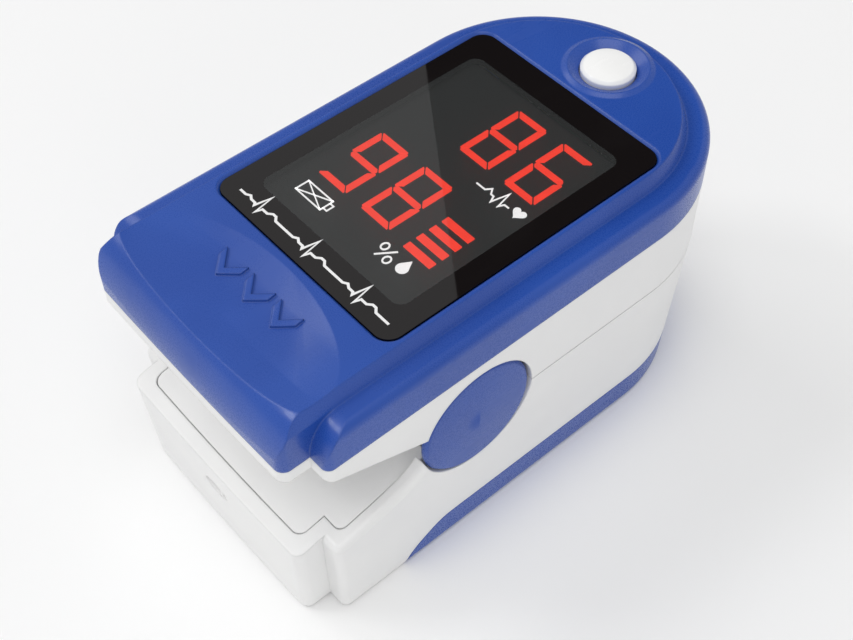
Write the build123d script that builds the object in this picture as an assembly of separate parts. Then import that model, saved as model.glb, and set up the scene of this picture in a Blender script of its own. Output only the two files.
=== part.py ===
from build123d import *
import os
from math import radians, sqrt, tan

os.makedirs("parts", exist_ok=True)

# ---------------------------------------------------------------- overall form (mm)
LENGTH = 57.0             # from the thumb end to the finger end
WIDTH = 31.0
PANEL_TOP_Z = 31.0        # raised panel that carries the window
RAIL_TOP_Z = 29.6         # lower side rails of the cover
SPLIT_Z = 25.5            # blue cover meets the white upper shell
SEAM_Z = 18.0             # the two halves meet here
DRAFT = 1.0               # the lower half is drawn in this much at the table

HALF_W = WIDTH / 2
END_Y = LENGTH / 2
END_CENTRE = END_Y - HALF_W     # centre of the half-round finger end
NOSE_Y = -LENGTH / 2            # middle of the bowed thumb end
BOW = 0.15                      # how far the thumb end is bowed
TONGUE_W = 2.2                  # the tongue is this much inside each rail
RAIL_BACK = 3.0                 # the rails stop this far behind the nose
TONGUE_R, RAIL_R = 1.0, 0.8     # upright corner radii

FOOT_R, SHOULDER_R = 0.8, 0.7   # rounding at the table and along the swept side walls
WALL = 1.4                # lower shell and upper shell walls
COVER_WALL = 1.5
RUN_GAP = 0.06            # gap at a moving face
FIT_GAP = 0.05            # gap between pieces of one half
FRAME_SEAM = 0.10         # visible line between the inner frame and the lower shell
SEAM_GAP = 0.10           # air between the closed halves
SOFT_GAP = 0.15           # silicone is kept back this much

# ---------------------------------------------------------------- hinge
HINGE_Y = -8.96
HINGE_Z = 17.84
CAP_R = 6.16              # round cap over each pivot
CAP_GAP = 0.20
CAP_DISC_T, CAP_HUB_R = 0.6, 4.7
PIN_R = 1.5
EAR_PLAY = 0.05           # radial play of the pin in the moving ear
LOWER_EAR_R, UPPER_EAR_R = 4.0, 5.0
CAP_X = (HALF_W - 1.55, HALF_W - 0.15)       # inner and outer face of a cap
UPPER_EAR_X = (CAP_X[0] - 1.55, CAP_X[0] - 0.1)
LOWER_EAR_X = (UPPER_EAR_X[0] - 1.6, UPPER_EAR_X[0] - 0.2)
PUSH_EDGE_Y, PUSH_EDGE_Z = -25.6, 24.1    # white edge over the squeeze gap
PUSH_SLOPE = 21.1                         # degrees
PUSH_PLATE = 1.2

# ---------------------------------------------------------------- raised panel and thumb rest
PANEL_STEP = 0.7          # the panel flank leans in this much
ROLL_Y, ROLL_Z = 3.4, PANEL_TOP_Z - SPLIT_Z     # the thumb end rolls over
RAIL_ROLL_Y, RAIL_ROLL_Z = 2.9, RAIL_TOP_Z - SPLIT_Z
THUMB_Y = NOSE_Y + 4.5    # the bowl runs out over the roll at the front
THUMB_HALF_X, THUMB_HALF_Y, THUMB_DEPTH = HALF_W - 2.3, 6.8, 1.05
THUMB_BALL = 2.2          # height radius of the thumb bowl
CHEVRON_Y, CHEVRON_PITCH, CHEVRON_RISE = THUMB_Y + 3.4, 3.8, 0.25

WINDOW_X, WINDOW_Y0, WINDOW_Y1 = 24.0, -16.3, 16.25
WINDOW_R = 1.6
WINDOW_T = 0.7
WINDOW_SINK = 0.12        # window face below the panel
WINDOW_LEDGE = 1.7

BUTTON_Y, BUTTON_R = 21.3, 2.7
BUTTON_GAP = 0.10
BUTTON_TRAVEL = 0.4

# ---------------------------------------------------------------- power and boards
CELL_R, CELL_LENGTH = 5.2, 44.3      # AAA cell
CELL_PITCH = 11.0
CELL_Y0 = -23.9
FLOOR = 1.0               # battery cover plate
CELL_Z = FLOOR + FIT_GAP + CELL_R
DECK_Z, DECK_T = 11.75, 0.75         # inner frame deck
ROOF_Z, ROOF_T = 23.9, 0.8           # upper shell deck
BOARD_T = 1.0
STRIP_Z = 4.0             # height of the blue strip round the bottom

# ---------------------------------------------------------------- finger tunnel
TUNNEL_Z = 18.2
TUNNEL_TIP_Y, TUNNEL_MID_Y = -1.4, 7.0
PAD_Y = -3.4
SENSOR_Y, SENSOR_W, SENSOR_L = 9.0, 6.0, 8.0


def draw(z):
    """How far the drafted lower half is drawn in at a height."""
    return DRAFT * (SEAM_Z - z) / SEAM_Z if z < SEAM_Z else 0.0


def outline(inset, notched=True, tongue_w=TONGUE_W):
    """The plan shape drawn in by inset: half-round at +Y, tongue and rails at -Y."""
    side, tongue = HALF_W - inset, HALF_W - tongue_w - inset
    rail_y, corner_y, nose_y = (NOSE_Y + d + inset for d in (RAIL_BACK, BOW, 0))
    edges = [
        Line((tongue, corner_y), (tongue, rail_y)),
        Line((tongue, rail_y), (side, rail_y)),
        Line((side, rail_y), (side, END_CENTRE)),
        ThreePointArc((side, END_CENTRE), (0, END_CENTRE + side), (-side, END_CENTRE)),
        Line((-side, END_CENTRE), (-side, rail_y)),
        Line((-side, rail_y), (-tongue, rail_y)),
        Line((-tongue, rail_y), (-tongue, corner_y)),
        ThreePointArc((-tongue, corner_y), (0, nose_y), (tongue, corner_y)),
    ]
    face = make_face(edges)
    rails = [v for v in face.vertices() if abs(abs(v.X) - side) < 0.01 and v.Y < rail_y + 0.01]
    face = fillet(rails, RAIL_R)
    noses = [v for v in face.vertices() if v.Y < corner_y + 0.01]
    return fillet(noses, TONGUE_R)


def prism(z0, z1, inset0, inset1=None):
    """A block between two heights whose outline is drawn in by the two insets."""
    inset1 = inset0 if inset1 is None else inset1
    if inset0 == inset1:
        return extrude(Pos(0, 0, z0) * outline(inset0), z1 - z0)
    return loft([Pos(0, 0, z0) * outline(inset0), Pos(0, 0, z1) * outline(inset1)], ruled=True)


def lower_prism(z0, z1, inset):
    return prism(z0, z1, inset + draw(z0), inset + draw(z1))


def side_block(points, half=20.0):
    """Extrude a shape drawn in the side view (y, z) across the whole width."""
    return extrude(Plane.YZ * make_face(Polyline(*points, close=True)), half, both=True)


def box(x0, x1, y0, y1, z0, z1):
    return Pos((x0 + x1) / 2, (y0 + y1) / 2, (z0 + z1) / 2) * Box(x1 - x0, y1 - y0, z1 - z0)


def along_x(x0, x1, y, z, r):
    """A cylinder lying along X."""
    return Pos((x0 + x1) / 2, y, z) * Rot(0, 90, 0) * Cylinder(r, abs(x1 - x0))


def along_y(x, y0, y1, z, r):
    return Pos(x, (y0 + y1) / 2, z) * Rot(90, 0, 0) * Cylinder(r, abs(y1 - y0))


def post(x, y, z0, z1, r):
    return Pos(x, y, (z0 + z1) / 2) * Cylinder(r, z1 - z0)


def span(side, a, b):
    """Order two x values taken outward on one side."""
    return (a, b) if side > 0 else (-b, -a)


def slope_z(y):
    """Underside of the upper shell over the squeeze gap."""
    return min(PUSH_EDGE_Z, PUSH_EDGE_Z - (y - PUSH_EDGE_Y) * tan(radians(PUSH_SLOPE)))


def domed_turning(z0, r, z1, rim, crown):
    """A round disc with a chamfered rim and a crown that is part of a ball."""
    a = r - rim
    ball = (a * a + crown * crown) / (2 * crown)
    mid = z1 + crown - ball + sqrt(ball * ball - a * a / 4)
    face = make_face([
        *Polyline((0, z0), (r, z0), (r, z1 - rim), (a, z1)).edges(),
        ThreePointArc((a, z1), (a / 2, mid), (0, z1 + crown)), Line((0, z1 + crown), (0, z0)),
    ])
    return revolve(Plane.XZ * face, Axis.Z)


def screw(x, y, z_head, z_tip, r, head_r, head_t):
    """Pan head screw; the head is at z_head and the shank points to z_tip."""
    up = 1 if z_tip > z_head else -1
    lo, hi = sorted((z_head, z_head + up * head_t))
    head = post(x, y, lo, hi, head_r)
    lo, hi = sorted((z_head + up * head_t, z_tip))
    body = head + post(x, y, lo, hi, r)
    slot = box(x - head_r * 0.7, x + head_r * 0.7, y - 0.15, y + 0.15,
               *sorted((z_head, z_head + up * head_t * 0.5)))
    cross = box(x - 0.15, x + 0.15, y - head_r * 0.7, y + head_r * 0.7,
                *sorted((z_head, z_head + up * head_t * 0.5)))
    return body - slot - cross


# ================================================================ finger tunnel
def ring_plane(y):
    return Plane((0, y, TUNNEL_Z), x_dir=(1, 0, 0), z_dir=(0, -1, 0))


MOUTH_A, MOUTH_B = 8.8, 4.6
tunnel = loft([
    ring_plane(TUNNEL_TIP_Y) * Ellipse(6.0, 2.9),
    ring_plane(TUNNEL_MID_Y) * Ellipse(8.0, 4.1),
    ring_plane(END_Y + 1.5) * Ellipse(MOUTH_A, MOUTH_B),
])


def mouth(grow, y0, y1):
    """The wider oval hole through the end walls of both shells."""
    face = ring_plane(y0) * Ellipse(MOUTH_A + grow, MOUTH_B + grow)
    return extrude(face, -(y1 - y0))


mouth_hole = mouth(1.0, END_CENTRE + 4, END_Y + 2)

# ================================================================ lower shell
CUT_PTS = [(-17.2, 0.0), (-16.2, 1.5), (-14.2, 3.0), (-11.2, STRIP_Z)]


def strip_zone(gap):
    """Side view of the battery cover: its front edge sweeps down to the table."""
    curve = Spline(*[(y - gap, z + gap) for y, z in CUT_PTS], tangents=[(0.45, 0.9), (1, 0.02)])
    start, end = curve @ 0, curve @ 1
    rest = Polyline((end.X, end.Y), (40, STRIP_Z + gap), (40, -5), (start.X, -5), (start.X, start.Y))
    return extrude(Plane.YZ * make_face([curve, *rest.edges()]), 20, both=True)


FRAME_RISE = 0.26         # slope of the frame's top under the squeeze gap
FRAME_NOSE_Z = 11.15


def frame_top(y):
    return FRAME_NOSE_Z + (y - NOSE_Y) * FRAME_RISE


KNEE_Y = -13.6            # the sloped plate ends here and the deck begins
KNEE_T, PLATE_T = 0.7, 0.7

# the side walls rise to the pivot in one sweep
sweep = Spline((-28.6, frame_top(-28.6)), (-24.0, frame_top(-24.0)), (-19.0, frame_top(-19) + 0.05),
               (-16.5, frame_top(-16.5) + 0.5), (-14.9, 16.3), (-13.7, SEAM_Z - SEAM_GAP / 2))
above = Polyline((-13.7, SEAM_Z - SEAM_GAP / 2), (-13.7, 45), (-45, 45), (-45, frame_top(-28.6)),
                 (-28.6, frame_top(-28.6)))
over_walls = extrude(Plane.YZ * make_face([sweep, *above.edges()]), 20, both=True)

lower_top = SEAM_Z - SEAM_GAP / 2


outer_block = lower_prism(0, lower_top, 0)
foot = [e for e in outer_block.edges() if abs(e.center().Z) < 0.01 and e.bounding_box().size.Z < 0.01]
outer_block = fillet(foot, FOOT_R)
lower_shell = outer_block - over_walls
shoulder = [e for e in lower_shell.edges() if e.center().Y < -13.9 and e.center().Z > 9.5
            and abs(e.center().X) > 10 and e.bounding_box().size.Y > 3]
lower_shell = fillet(shoulder, SHOULDER_R)
bay = lower_prism(FLOOR, lower_top + 1, WALL)
front_wall = box(-20, 20, -40, CELL_Y0 - 2.2, 0, DECK_Z)
LAND_Y = CELL_Y0 + CELL_LENGTH + 0.5          # wall behind the finger end contact
back_wall = (box(-20, 20, LAND_Y, LAND_Y + 1.2, STRIP_Z + 0.3, DECK_Z - FIT_GAP)
             + box(-9.3, 9.3, LAND_Y, LAND_Y + 1.2, FLOOR + 2 * FIT_GAP, STRIP_Z + 1))

under_frame = side_block([
    (-40, frame_top(-40) - PLATE_T - FIT_GAP),
    (KNEE_Y - KNEE_T, frame_top(KNEE_Y - KNEE_T) - PLATE_T - FIT_GAP),
    (KNEE_Y - KNEE_T, DECK_Z - FIT_GAP / 2), (40, DECK_Z - FIT_GAP / 2), (40, 60), (-40, 60),
])
ledge = (lower_prism(9.0, 15.5, WALL - 0.3) - lower_prism(8.0, 16.5, WALL + 1.2)) - under_frame
lower_shell = lower_shell - bay + (ledge & lower_prism(9.0, 15.5, 0.5))
lower_shell += (front_wall & lower_prism(FLOOR - 0.2, DECK_Z, WALL - 0.2)) - under_frame
lower_shell += back_wall & lower_prism(FLOOR, DECK_Z, WALL - 0.2)
lower_shell -= strip_zone(RUN_GAP)
lower_shell -= box(-10, 10, CELL_Y0 - 2.2, CELL_Y0 + 1, FLOOR, DECK_Z - 1.0) - under_frame
strip_side = box(-9.3, 9.3, LAND_Y, LAND_Y + 1.2, FLOOR + 2 * FIT_GAP, STRIP_Z + 0.5)
lower_shell += strip_side
lower_shell -= mouth_hole

LOWER_SCREW = (HALF_W - 3.05, -20.0)
SCREW_R, SCREW_HEAD_R, SCREW_HEAD_T = 0.7, 1.15, 0.7
for side in (-1, 1):
    x, y = side * LOWER_SCREW[0], LOWER_SCREW[1]
    lower_shell += post(x, y, 0.4, frame_top(y) - PLATE_T - 0.35, 1.5) & lower_prism(0, 15, 0.6)
for side in (-1, 1):
    x, y = side * LOWER_SCREW[0], LOWER_SCREW[1]
    lower_shell -= post(x, y, -1, 20, SCREW_R + FIT_GAP)
    lower_shell -= post(x, y, -1, 0.2 + SCREW_HEAD_T + 0.15, SCREW_HEAD_R + FIT_GAP)
    lower_shell -= along_x(*span(side, LOWER_EAR_X[1] + 0.1, 20), HINGE_Y, HINGE_Z, CAP_R + CAP_GAP)

# a small scoop with an upright bar for a wrist loop, under the top edge of the thumb end
LOOP_Z, LOOP_X = 7.6, 0.55
loop_scoop = Pos(0, NOSE_Y + 0.25, LOOP_Z) * scale(Sphere(1), by=(1.75, 1.65, 0.85))
lower_shell -= loop_scoop
loop_bar_body = post(LOOP_X, NOSE_Y + 1.0, LOOP_Z - 0.95, LOOP_Z + 0.95, 0.3)
lower_shell -= loop_bar_body

# ================================================================ battery cover
battery_cover = outer_block & strip_zone(0)
battery_cover -= lower_prism(FLOOR, STRIP_Z + 2, WALL - 0.1)
battery_cover = battery_cover - box(-40, 40, -40, 40, STRIP_Z, 20)
grip = None
for i in range(5):
    rib = box(-4.5 + 0.3 * i, 4.5 - 0.3 * i, 15.0 + 1.3 * i, 15.6 + 1.3 * i, -0.5, 0.25)
    grip = rib if grip is None else grip + rib
battery_cover -= grip

# ================================================================ inner frame
frame_body = lower_prism(9.5, SEAM_Z - 1.0, WALL + FRAME_SEAM)
frame_side = side_block([
    (-40, frame_top(-40) - PLATE_T), (KNEE_Y - KNEE_T, frame_top(KNEE_Y - KNEE_T) - PLATE_T),
    (KNEE_Y - KNEE_T, DECK_Z), (40, DECK_Z), (40, DECK_Z + DECK_T), (KNEE_Y, DECK_Z + DECK_T),
    (KNEE_Y, frame_top(KNEE_Y)), (-40, frame_top(-40)),
])
inner_frame = frame_body & frame_side
for side in (-1, 1):
    x0, x1 = span(side, *LOWER_EAR_X)
    inner_frame += along_x(x0, x1, HINGE_Y, HINGE_Z, LOWER_EAR_R)
    inner_frame += box(x0, x1, HINGE_Y - LOWER_EAR_R, HINGE_Y + LOWER_EAR_R, DECK_Z + 0.2, HINGE_Z)
    inner_frame -= along_x(*span(side, 5, 14), HINGE_Y, HINGE_Z, PIN_R)
    inner_frame -= along_x(*span(side, UPPER_EAR_X[0] - 0.15, 15), HINGE_Y, HINGE_Z, UPPER_EAR_R + 0.3)
    inner_frame -= along_x(*span(side, CAP_X[0] - 0.1, 20), HINGE_Y, HINGE_Z, CAP_R + CAP_GAP)
    sx, sy = side * LOWER_SCREW[0], LOWER_SCREW[1]
    inner_frame -= post(sx, sy, 0, frame_top(sy) - 0.35, SCREW_R + FIT_GAP / 2)

# ================================================================ silicone pads
mouth_lip = mouth(1.0 - 0.12, END_CENTRE + 6, END_Y - 0.3)


def pad_bore(z0, z1):
    return box(-SENSOR_W / 2 - 0.1, SENSOR_W / 2 + 0.1, SENSOR_Y - SENSOR_L / 2 - 0.1,
               SENSOR_Y + SENSOR_L / 2 + 0.1, z0, z1)


PAD_LOW_Z, PAD_HIGH_Z = SEAM_Z - SEAM_GAP / 2 - SOFT_GAP, SEAM_Z + SEAM_GAP / 2 + SOFT_GAP
behind = box(-20, 20, PAD_Y, 40, 0, 60)
DECK_TOP = DECK_Z + DECK_T
lower_pad = lower_prism(DECK_TOP, PAD_LOW_Z, WALL + FIT_GAP + 0.05) & behind
lower_pad += (mouth_lip & box(-20, 20, 0, 40, DECK_TOP, PAD_LOW_Z)) & lower_prism(DECK_TOP, PAD_LOW_Z, 0.3)
lower_pad -= tunnel
lower_pad -= pad_bore(0, TUNNEL_Z)
lower_pad -= box(-2.3, 2.3, PAD_Y - 1, SENSOR_Y, DECK_TOP - 1, DECK_TOP + 0.5)

upper_pad = prism(PAD_HIGH_Z, ROOF_Z, COVER_WALL + FIT_GAP) & behind
upper_pad += (mouth_lip & box(-20, 20, 0, 40, PAD_HIGH_Z, ROOF_Z)) & prism(PAD_HIGH_Z, ROOF_Z, 0.3)
upper_pad -= tunnel
upper_pad -= pad_bore(TUNNEL_Z, 60)

# ================================================================ upper shell
upper_shell = prism(SEAM_Z + SEAM_GAP / 2, SPLIT_Z, 0)
upper_shell -= side_block([
    (-40, 0), (-40, PUSH_EDGE_Z), (PUSH_EDGE_Y, PUSH_EDGE_Z), (-9.5, slope_z(-9.5)), (-9.5, 0),
])
BULK_Y0, BULK_Y1 = -14.4, -13.2       # wall between the thumb bay and the hinge bay
inner = prism(10, 40, COVER_WALL)
upper_shell -= inner & side_block([
    (-40, PUSH_EDGE_Z + PUSH_PLATE), (PUSH_EDGE_Y, PUSH_EDGE_Z + PUSH_PLATE),
    (BULK_Y0, slope_z(BULK_Y0) + PUSH_PLATE), (BULK_Y0, ROOF_Z + ROOF_T), (40, ROOF_Z + ROOF_T),
    (40, 50), (-40, 50),
])
upper_shell -= inner & side_block([(BULK_Y1, 0), (BULK_Y1, ROOF_Z), (40, ROOF_Z), (40, 0)])
for side in (-1, 1):
    x0, x1 = span(side, *UPPER_EAR_X)
    ear = along_x(x0, x1, HINGE_Y, HINGE_Z, UPPER_EAR_R)
    ear += box(x0, x1, HINGE_Y - UPPER_EAR_R, HINGE_Y + UPPER_EAR_R, HINGE_Z, ROOF_Z + 0.2)
    upper_shell += ear
    rib = box(*span(side, UPPER_EAR_X[1] - 0.2, HALF_W - 1.0), HINGE_Y - UPPER_EAR_R,
              HINGE_Y + UPPER_EAR_R, HINGE_Z, ROOF_Z + 0.2)
    upper_shell += rib
    upper_shell -= along_x(*span(side, 5, 15), HINGE_Y, HINGE_Z, PIN_R + EAR_PLAY)
    upper_shell -= along_x(*span(side, UPPER_EAR_X[1], 20), HINGE_Y, HINGE_Z, CAP_R + CAP_GAP)
upper_shell -= mouth_hole & box(-20, 20, 0, 40, 0, ROOF_Z)
LIP = 0.7
lip = prism(SPLIT_Z - 0.6, SPLIT_Z + 0.8, COVER_WALL + FIT_GAP)
lip -= prism(SPLIT_Z - 2, SPLIT_Z + 2, COVER_WALL + LIP)
lip_foot = prism(SPLIT_Z - 0.6, SPLIT_Z, COVER_WALL - 0.5) - prism(SPLIT_Z - 2, SPLIT_Z + 2, COVER_WALL + LIP)
upper_shell += lip
upper_shell += lip_foot

UPPER_SCREWS = [(sx * x, y) for sx in (-1, 1)
                for x, y in ((HALF_W - 4.9, -21.0), (HALF_W - 4.2, END_CENTRE + 5.2))]
CABLE_Y = -6.4            # slot for the ribbon through the roof
for x, y in UPPER_SCREWS:
    base = slope_z(y) if y < 0 else ROOF_Z
    top = base + (PUSH_PLATE if y < 0 else ROOF_T)
    if y < 0:
        upper_shell += post(x, y, slope_z(y) + 0.5, slope_z(y) + 2.0, 1.9) - side_block(
            [(-40, 0), (-40, PUSH_EDGE_Z), (PUSH_EDGE_Y, PUSH_EDGE_Z), (-9.5, slope_z(-9.5)), (-9.5, 0)])
for x, y in UPPER_SCREWS:
    upper_shell -= post(x, y, 10, 40, SCREW_R + FIT_GAP)
    seat = slope_z(y) + 0.95 if y < 0 else ROOF_Z + 0.25
    upper_shell -= post(x, y, 10, seat, SCREW_HEAD_R + FIT_GAP)
upper_shell -= box(-2.6, 2.6, CABLE_Y - 0.6, CABLE_Y + 0.8, ROOF_Z - 1, ROOF_Z + ROOF_T + 1)

# ================================================================ top cover
def rolled(front_y, top_z, roll_y, roll_z):
    """Everything behind a front that rolls over from upright to level in a quarter ellipse."""
    face = make_face([
        EllipticalCenterArc((front_y + roll_y, top_z - roll_z), roll_y, roll_z, start_angle=90, arc_size=90),
        *Polyline((front_y, top_z - roll_z), (front_y, SPLIT_Z - 2), (40, SPLIT_Z - 2), (40, top_z),
                  (front_y + roll_y, top_z)).edges(),
    ])
    return extrude(Plane.YZ * face, 20, both=True)


EDGE_R = 0.9
rails = prism(SPLIT_Z, RAIL_TOP_Z, 0)
top_edges = rails.edges().filter_by(lambda e: abs(e.center().Z - RAIL_TOP_Z) < 0.01)
outer_top = [e for e in top_edges if not (abs(abs(e.center().X) - (HALF_W - TONGUE_W)) < 0.02
                                          and e.center().Y < NOSE_Y + RAIL_BACK + 0.1)
             and not (abs(e.center().X) < HALF_W - TONGUE_W - 0.1 and e.center().Y < 0)
             and e.center().Y >= NOSE_Y + RAIL_BACK - 0.2]
rails = fillet(outer_top, EDGE_R)


def panel_outline(inset):
    """Panel plan shape: as wide as the tongue, half-round at the finger end."""
    half, nose = HALF_W - TONGUE_W - inset, NOSE_Y - 2
    edges = [
        Line((half, nose), (half, END_CENTRE)),
        ThreePointArc((half, END_CENTRE), (0, END_CENTRE + half), (-half, END_CENTRE)),
        Line((-half, END_CENTRE), (-half, nose)), Line((-half, nose), (half, nose)),
    ]
    return make_face(edges)


panel = loft([Pos(0, 0, RAIL_TOP_Z - 0.01) * panel_outline(0.02),
              Pos(0, 0, PANEL_TOP_Z) * panel_outline(PANEL_STEP)], ruled=True)
panel += extrude(Pos(0, 0, SPLIT_Z) * panel_outline(0.02), RAIL_TOP_Z - SPLIT_Z)
nose_block = prism(SPLIT_Z, PANEL_TOP_Z, 0)
panel = panel & nose_block
rails = rails & rolled(NOSE_Y + RAIL_BACK, RAIL_TOP_Z, RAIL_ROLL_Y, RAIL_ROLL_Z)
top_cover = rails + (panel & rolled(NOSE_Y, PANEL_TOP_Z, ROLL_Y, ROLL_Z))

cavity = prism(SPLIT_Z - 1, 28.1, COVER_WALL)
cavity += extrude(Pos(0, 0, 28.0) * panel_outline(PANEL_STEP + 1.3), PANEL_TOP_Z - 1.5 - 28.0) & box(
    -20, 20, WINDOW_Y0 - 0.5, 40, 0, 60)
top_cover -= cavity

k = sqrt(1 - ((THUMB_BALL - THUMB_DEPTH) / THUMB_BALL) ** 2)


def thumb_bowl(lift):
    ball = scale(Sphere(1), by=(THUMB_HALF_X / k, THUMB_HALF_Y / k, THUMB_BALL))
    return Pos(0, THUMB_Y, PANEL_TOP_Z + THUMB_BALL - THUMB_DEPTH + lift) * ball


top_cover -= thumb_bowl(0)

# three raised arrows in the bowl show which way to squeeze
arrows = None
for i in (-1, 0, 1):
    arrow = make_face(Polyline((-1.5, 1.15), (0, -0.35), (1.5, 1.15), (1.5, 0.25), (0, -1.25),
                               (-1.5, 0.25), close=True))
    tall = extrude(Pos(i * CHEVRON_PITCH, CHEVRON_Y, PANEL_TOP_Z - THUMB_DEPTH - 0.6) * arrow, 2.4)
    arrows = tall if arrows is None else arrows + tall
top_cover += arrows - thumb_bowl(CHEVRON_RISE)

window_mid_y, window_len = (WINDOW_Y0 + WINDOW_Y1) / 2, WINDOW_Y1 - WINDOW_Y0
WINDOW_BASE = PANEL_TOP_Z - WINDOW_SINK - WINDOW_T


def window_sheet(grow, z0, z1, radius):
    face = Pos(0, window_mid_y, z0) * RectangleRounded(WINDOW_X + 2 * grow, window_len + 2 * grow, radius)
    return extrude(face, z1 - z0)


top_cover -= window_sheet(0.0, WINDOW_BASE, PANEL_TOP_Z + 1, WINDOW_R)
top_cover -= window_sheet(-WINDOW_LEDGE, 20, PANEL_TOP_Z, 0.8)
bevel = loft([Pos(0, window_mid_y, PANEL_TOP_Z - 0.3) * RectangleRounded(WINDOW_X, window_len, WINDOW_R),
              Pos(0, window_mid_y, PANEL_TOP_Z + 0.01)
              * RectangleRounded(WINDOW_X + 0.6, window_len + 0.6, WINDOW_R + 0.3)], ruled=True)
top_cover -= bevel

# collar of the power button: a soft raised ring, a dish and the bore
collar = Pos(0, BUTTON_Y, PANEL_TOP_Z) * Cone(4.5, 3.9, 0.3, align=(Align.CENTER, Align.CENTER, Align.MIN))
collar_dish = Pos(0, BUTTON_Y, PANEL_TOP_Z - 0.45) * Cone(
    BUTTON_R + BUTTON_GAP, 4.0, 0.76, align=(Align.CENTER, Align.CENTER, Align.MIN))
top_cover += collar
top_cover -= collar_dish
top_cover -= post(0, BUTTON_Y, 20, 40, BUTTON_R + BUTTON_GAP)
top_cover -= post(0, BUTTON_Y, 27.5, PANEL_TOP_Z - 1.5, BUTTON_R + 0.75)

for x, y in UPPER_SCREWS:
    boss_z = slope_z(y) + 2.0 + FIT_GAP if y < 0 else ROOF_Z + ROOF_T + FIT_GAP
    boss = post(x, y, boss_z, 28.6, 1.75)
    if y > 0:
        boss = boss & prism(10, 40, COVER_WALL + LIP + FIT_GAP)
    boss = boss - post(x, y, 10, 27.6, SCREW_R + FIT_GAP / 2)
    top_cover += boss

# ================================================================ window, display, segments
display_window = window_sheet(-FIT_GAP, WINDOW_BASE, PANEL_TOP_Z - WINDOW_SINK, WINDOW_R - FIT_GAP)
SCREEN_X, SCREEN_Y0, SCREEN_Y1 = 19.1, -12.85, 12.95
SEG_TOP = WINDOW_BASE - 0.05
FILM_Z = SEG_TOP - 0.22
BOARD_TOP = ROOF_Z + ROOF_T + BOARD_T
screen_mid = (SCREEN_Y0 + SCREEN_Y1) / 2
led_display = box(-SCREEN_X / 2 - 0.9, SCREEN_X / 2 + 0.9, SCREEN_Y0 - 0.7, SCREEN_Y1 + 0.7,
                  BOARD_TOP, FILM_Z - 0.6)
led_display += box(-SCREEN_X / 2, SCREEN_X / 2, SCREEN_Y0, SCREEN_Y1, FILM_Z - 1.0, FILM_Z)

DIGIT_W, DIGIT_H, STROKE = 3.85, 7.6, 0.62
BAR_GAP, BAR_TIP = 0.09, 0.13
LIT = {"9": "abcdfg", "8": "abcdefg", "6": "acdefg"}


def bar_face(start, end, deep, both_sides=False):
    """One bar of a digit: its ends are cut at 45 degrees towards its left, or towards both sides."""
    along = Vector(*end) - Vector(*start)
    far, step = along.length, along.normalized()
    left = Vector(-step.Y, step.X)
    cut = [(BAR_GAP + BAR_TIP, BAR_TIP), (BAR_GAP + deep, deep)]
    inner = cut + [(far - s, t) for s, t in reversed(cut)]
    outer = [(s, -t) for s, t in reversed(inner)] if both_sides else [(far - cut[0][0], 0), (cut[0][0], 0)]
    return make_face(Polyline(*(Vector(*start) + step * s + left * t for s, t in inner + outer), close=True))


def digit(cx, cy, name):
    """Seven bars a to g inside a digit's outline, the lit ones only."""
    w, h = DIGIT_W / 2, DIGIT_H / 2
    route = {
        "a": ((w, h), (-w, h)), "f": ((-w, h), (-w, 0)), "e": ((-w, 0), (-w, -h)),
        "d": ((-w, -h), (w, -h)), "c": ((w, -h), (w, 0)), "b": ((w, 0), (w, h)),
    }
    faces = [bar_face(*route[s], STROKE) for s in LIT[name] if s in route]
    faces.append(bar_face((-w, 0), (w, 0), STROKE / 2, both_sides=True))
    return [Pos(cx, cy, FILM_Z) * face for face in faces]


light_bars = box(-SCREEN_X / 2, SCREEN_X / 2, SCREEN_Y0, SCREEN_Y1, FILM_Z, FILM_Z + 0.08)
marks = digit(-6.1, -3.85, "9") + digit(-0.15, -3.8, "8") + digit(0.05, 7.65, "8") + digit(5.95, 7.7, "6")
LEVEL_PITCH, LEVEL_T = 1.47, 0.78
for i in range(4):
    marks.append(Pos(5.75, -7.42 + LEVEL_PITCH * i, FILM_Z) * Rectangle(3.4, LEVEL_T))
for m in marks:
    light_bars += extrude(m, SEG_TOP - FILM_Z)

# ================================================================ boards and small parts upstairs
board_x, board_y0 = HALF_W - 3.3, -19.6
board_face = make_face([
    Line((-board_x, board_y0), (board_x, board_y0)), Line((board_x, board_y0), (board_x, END_CENTRE)),
    ThreePointArc((board_x, END_CENTRE), (0, END_CENTRE + board_x), (-board_x, END_CENTRE)),
    Line((-board_x, END_CENTRE), (-board_x, board_y0)),
])
main_board = extrude(Pos(0, 0, ROOF_Z + ROOF_T) * board_face, BOARD_T)
for x, y in UPPER_SCREWS:
    main_board -= post(x, y, 10, 40, 2.0)
controller_chip = box(1.5, 8.5, -19.0, -15.2, ROOF_Z + ROOF_T - 0.9, ROOF_Z + ROOF_T)
for i in range(6):
    for y in (-19.0, -15.2):
        leg = box(2.3 + 1.0 * i, 2.7 + 1.0 * i, y - 0.35, y + 0.35, ROOF_Z + ROOF_T - 0.25, ROOF_Z + ROOF_T)
        controller_chip += leg
buzzer = post(-6.0, -17.6 + 1.4, BOARD_TOP, BOARD_TOP + 2.1, 1.9)
buzzer -= post(-6.0, -16.2, BOARD_TOP + 1.6, BOARD_TOP + 3, 0.6)
tact_switch = box(-2.3, 2.3, BUTTON_Y - 2.3, BUTTON_Y + 2.3, BOARD_TOP, BOARD_TOP + 1.5)
tact_switch += post(0, BUTTON_Y, BOARD_TOP + 1.4, BOARD_TOP + 2.2, 1.1)

plunger = BOARD_TOP + 2.2 + BUTTON_TRAVEL + 0.05
flange_top = PANEL_TOP_Z - 1.5 - RUN_GAP
power_button = Pos(0, BUTTON_Y, 0) * domed_turning(plunger, BUTTON_R, PANEL_TOP_Z + 0.3, 0.3, 0.36)
power_button += post(0, BUTTON_Y, plunger, flange_top, BUTTON_R + 0.6)

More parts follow.
